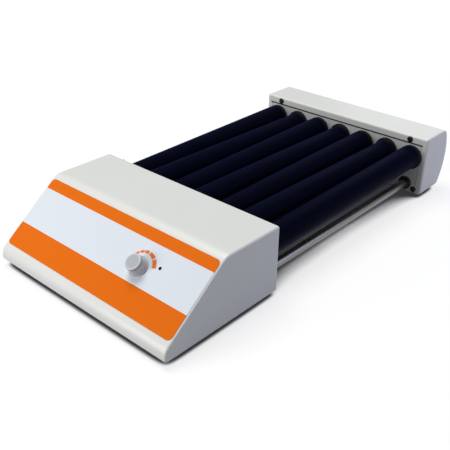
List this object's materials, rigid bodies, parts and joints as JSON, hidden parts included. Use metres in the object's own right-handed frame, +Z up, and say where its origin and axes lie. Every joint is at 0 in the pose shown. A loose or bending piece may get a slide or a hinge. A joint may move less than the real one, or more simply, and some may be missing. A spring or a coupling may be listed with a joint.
{
  "type": "tube roller mixer",
  "caption": "Bench mixer that rocks and rolls sample tubes on a row of eccentric rollers between a sloped drive housing and a rear housing joined by tie rods.",
  "frame": {"origin": "centre of the footprint, on the surface the feet stand on", "axes": "+X across the rollers to the right as seen from the control panel, +Y along the rollers from the control panel to the rear housing, +Z up"},
  "size_m": [0.25, 0.501, 0.08],
  "materials": {
    "base_plate": "powder coat",
    "base_screws": "zinc plated",
    "bearing_plate": "satin off-white paint",
    "bush": "natural acetal",
    "control_board": "green board",
    "control_panel": "printed overlay with orange stripes",
    "cover_screws": "black oxide",
    "cover_shell": "satin off-white moulding",
    "disc": "black",
    "drive_gear": "natural acetal",
    "gear_motor": "plated can",
    "idler_axles": "ground",
    "idler_gear": "natural acetal",
    "motor_bracket": "zinc plated sheet",
    "motor_pinion": "machined",
    "motor_screws": "zinc plated",
    "motor_shaft": "ground",
    "pot_nut": "nickel plated",
    "pot_shaft": "ground",
    "potentiometer": "moulded body",
    "power_inlet": "black moulding",
    "rod_nut": "zinc plated",
    "rod_washer": "black",
    "roller_end": "black plug with steel stub",
    "roller_gear": "natural acetal",
    "roller_tube": "smooth black sleeve",
    "rubber_feet": "black",
    "speed_knob": "satin grey",
    "switch_frame": "black moulding",
    "switch_rocker": "black moulding",
    "tie_rod": "ground and polished"
  },
  "bodies": {
    "frame": {"base_screws": "base_screws", "control_board": "control_board", "control_panel": "control_panel", "cover_screws": "cover_screws", "front_base": "base_plate", "front_bushes": "bush", "front_cover": "cover_shell", "front_discs": "disc", "front_plate": "bearing_plate", "gear_motor": "gear_motor", "idler_axles": "idler_axles", "left_tie_rod": "tie_rod", "motor_bracket": "motor_bracket", "motor_screws": "motor_screws", "pot_nut": "pot_nut", "potentiometer": "potentiometer", "power_inlet": "power_inlet", "rear_base": "base_plate", "rear_bushes": "bush", "rear_cover": "cover_shell", "rear_discs": "disc", "rear_plate": "bearing_plate", "right_tie_rod": "tie_rod", "rod_nuts": "rod_nut", "rod_washers": "rod_washer", "rubber_feet": "rubber_feet", "switch_frame": "switch_frame"},
    "roller_1": {"roller_tube_1": "roller_tube", "roller_ends_1": "roller_end", "roller_gear_1": "roller_gear"},
    "roller_2": {"roller_tube_2": "roller_tube", "roller_ends_2": "roller_end", "roller_gear_2": "roller_gear"},
    "roller_3": {"roller_tube_3": "roller_tube", "roller_ends_3": "roller_end", "roller_gear_3": "roller_gear"},
    "roller_4": {"roller_tube_4": "roller_tube", "roller_ends_4": "roller_end", "roller_gear_4": "roller_gear", "drive_gear": "drive_gear"},
    "roller_5": {"roller_tube_5": "roller_tube", "roller_ends_5": "roller_end", "roller_gear_5": "roller_gear"},
    "roller_6": {"roller_tube_6": "roller_tube", "roller_ends_6": "roller_end", "roller_gear_6": "roller_gear"},
    "roller_7": {"roller_tube_7": "roller_tube", "roller_ends_7": "roller_end", "roller_gear_7": "roller_gear"},
    "idler_1": {"idler_gear_1": "idler_gear"},
    "idler_2": {"idler_gear_2": "idler_gear"},
    "idler_3": {"idler_gear_3": "idler_gear"},
    "idler_4": {"idler_gear_4": "idler_gear"},
    "idler_5": {"idler_gear_5": "idler_gear"},
    "idler_6": {"idler_gear_6": "idler_gear"},
    "pinion": {"motor_pinion": "motor_pinion", "motor_shaft": "motor_shaft"},
    "knob": {"speed_knob": "speed_knob", "pot_shaft": "pot_shaft"},
    "rocker": {"switch_rocker": "switch_rocker"}
  },
  "joints": [
    {"name": "roller_1_spin", "type": "hinge", "parent": "frame", "child": "roller_1", "pos_m": [-0.105, 0, 0.0528], "axis": [0, 1, 0], "continuous": true},
    {"name": "roller_2_spin", "type": "hinge", "parent": "frame", "child": "roller_2", "pos_m": [-0.07, 0, 0.0528], "axis": [0, 1, 0], "continuous": true},
    {"name": "roller_3_spin", "type": "hinge", "parent": "frame", "child": "roller_3", "pos_m": [-0.035, 0, 0.0528], "axis": [0, 1, 0], "continuous": true},
    {"name": "roller_4_spin", "type": "hinge", "parent": "frame", "child": "roller_4", "pos_m": [0, 0, 0.0528], "axis": [0, 1, 0], "continuous": true},
    {"name": "roller_5_spin", "type": "hinge", "parent": "frame", "child": "roller_5", "pos_m": [0.035, 0, 0.0528], "axis": [0, 1, 0], "continuous": true},
    {"name": "roller_6_spin", "type": "hinge", "parent": "frame", "child": "roller_6", "pos_m": [0.07, 0, 0.0528], "axis": [0, 1, 0], "continuous": true},
    {"name": "roller_7_spin", "type": "hinge", "parent": "frame", "child": "roller_7", "pos_m": [0.105, 0, 0.0528], "axis": [0, 1, 0], "continuous": true},
    {"name": "idler_1_spin", "type": "hinge", "parent": "frame", "child": "idler_1", "pos_m": [-0.0875, -0.097, 0.03638], "axis": [0, 1, 0], "continuous": true},
    {"name": "idler_2_spin", "type": "hinge", "parent": "frame", "child": "idler_2", "pos_m": [-0.0525, -0.097, 0.03638], "axis": [0, 1, 0], "continuous": true},
    {"name": "idler_3_spin", "type": "hinge", "parent": "frame", "child": "idler_3", "pos_m": [-0.0175, -0.097, 0.03638], "axis": [0, 1, 0], "continuous": true},
    {"name": "idler_4_spin", "type": "hinge", "parent": "frame", "child": "idler_4", "pos_m": [0.0175, -0.097, 0.03638], "axis": [0, 1, 0], "continuous": true},
    {"name": "idler_5_spin", "type": "hinge", "parent": "frame", "child": "idler_5", "pos_m": [0.0525, -0.097, 0.03638], "axis": [0, 1, 0], "continuous": true},
    {"name": "idler_6_spin", "type": "hinge", "parent": "frame", "child": "idler_6", "pos_m": [0.0875, -0.097, 0.03638], "axis": [0, 1, 0], "continuous": true},
    {"name": "pinion_spin", "type": "hinge", "parent": "frame", "child": "pinion", "pos_m": [0, -0.097, 0.0288], "axis": [0, 1, 0], "continuous": true},
    {"name": "knob_turn", "type": "hinge", "parent": "frame", "child": "knob", "pos_m": [0.047, -0.20794, 0.05171], "axis": [0, -0.6186, 0.7857], "range_deg": [-270, 0]},
    {"name": "rocker_tilt", "type": "hinge", "parent": "frame", "child": "rocker", "pos_m": [-0.1182, -0.133, 0.032], "axis": [0, 1, 0], "range_deg": [0, 16]}
  ],
  "couplings": [
    {"joint": "roller_1_spin", "follows": "roller_4_spin", "ratio": 1},
    {"joint": "roller_2_spin", "follows": "roller_4_spin", "ratio": 1},
    {"joint": "roller_3_spin", "follows": "roller_4_spin", "ratio": 1},
    {"joint": "roller_5_spin", "follows": "roller_4_spin", "ratio": 1},
    {"joint": "roller_6_spin", "follows": "roller_4_spin", "ratio": 1},
    {"joint": "roller_7_spin", "follows": "roller_4_spin", "ratio": 1},
    {"joint": "idler_1_spin", "follows": "roller_4_spin", "ratio": -1},
    {"joint": "idler_2_spin", "follows": "roller_4_spin", "ratio": -1},
    {"joint": "idler_3_spin", "follows": "roller_4_spin", "ratio": -1},
    {"joint": "idler_4_spin", "follows": "roller_4_spin", "ratio": -1},
    {"joint": "idler_5_spin", "follows": "roller_4_spin", "ratio": -1},
    {"joint": "idler_6_spin", "follows": "roller_4_spin", "ratio": -1},
    {"joint": "pinion_spin", "follows": "roller_4_spin", "ratio": -1.6667}
  ]
}
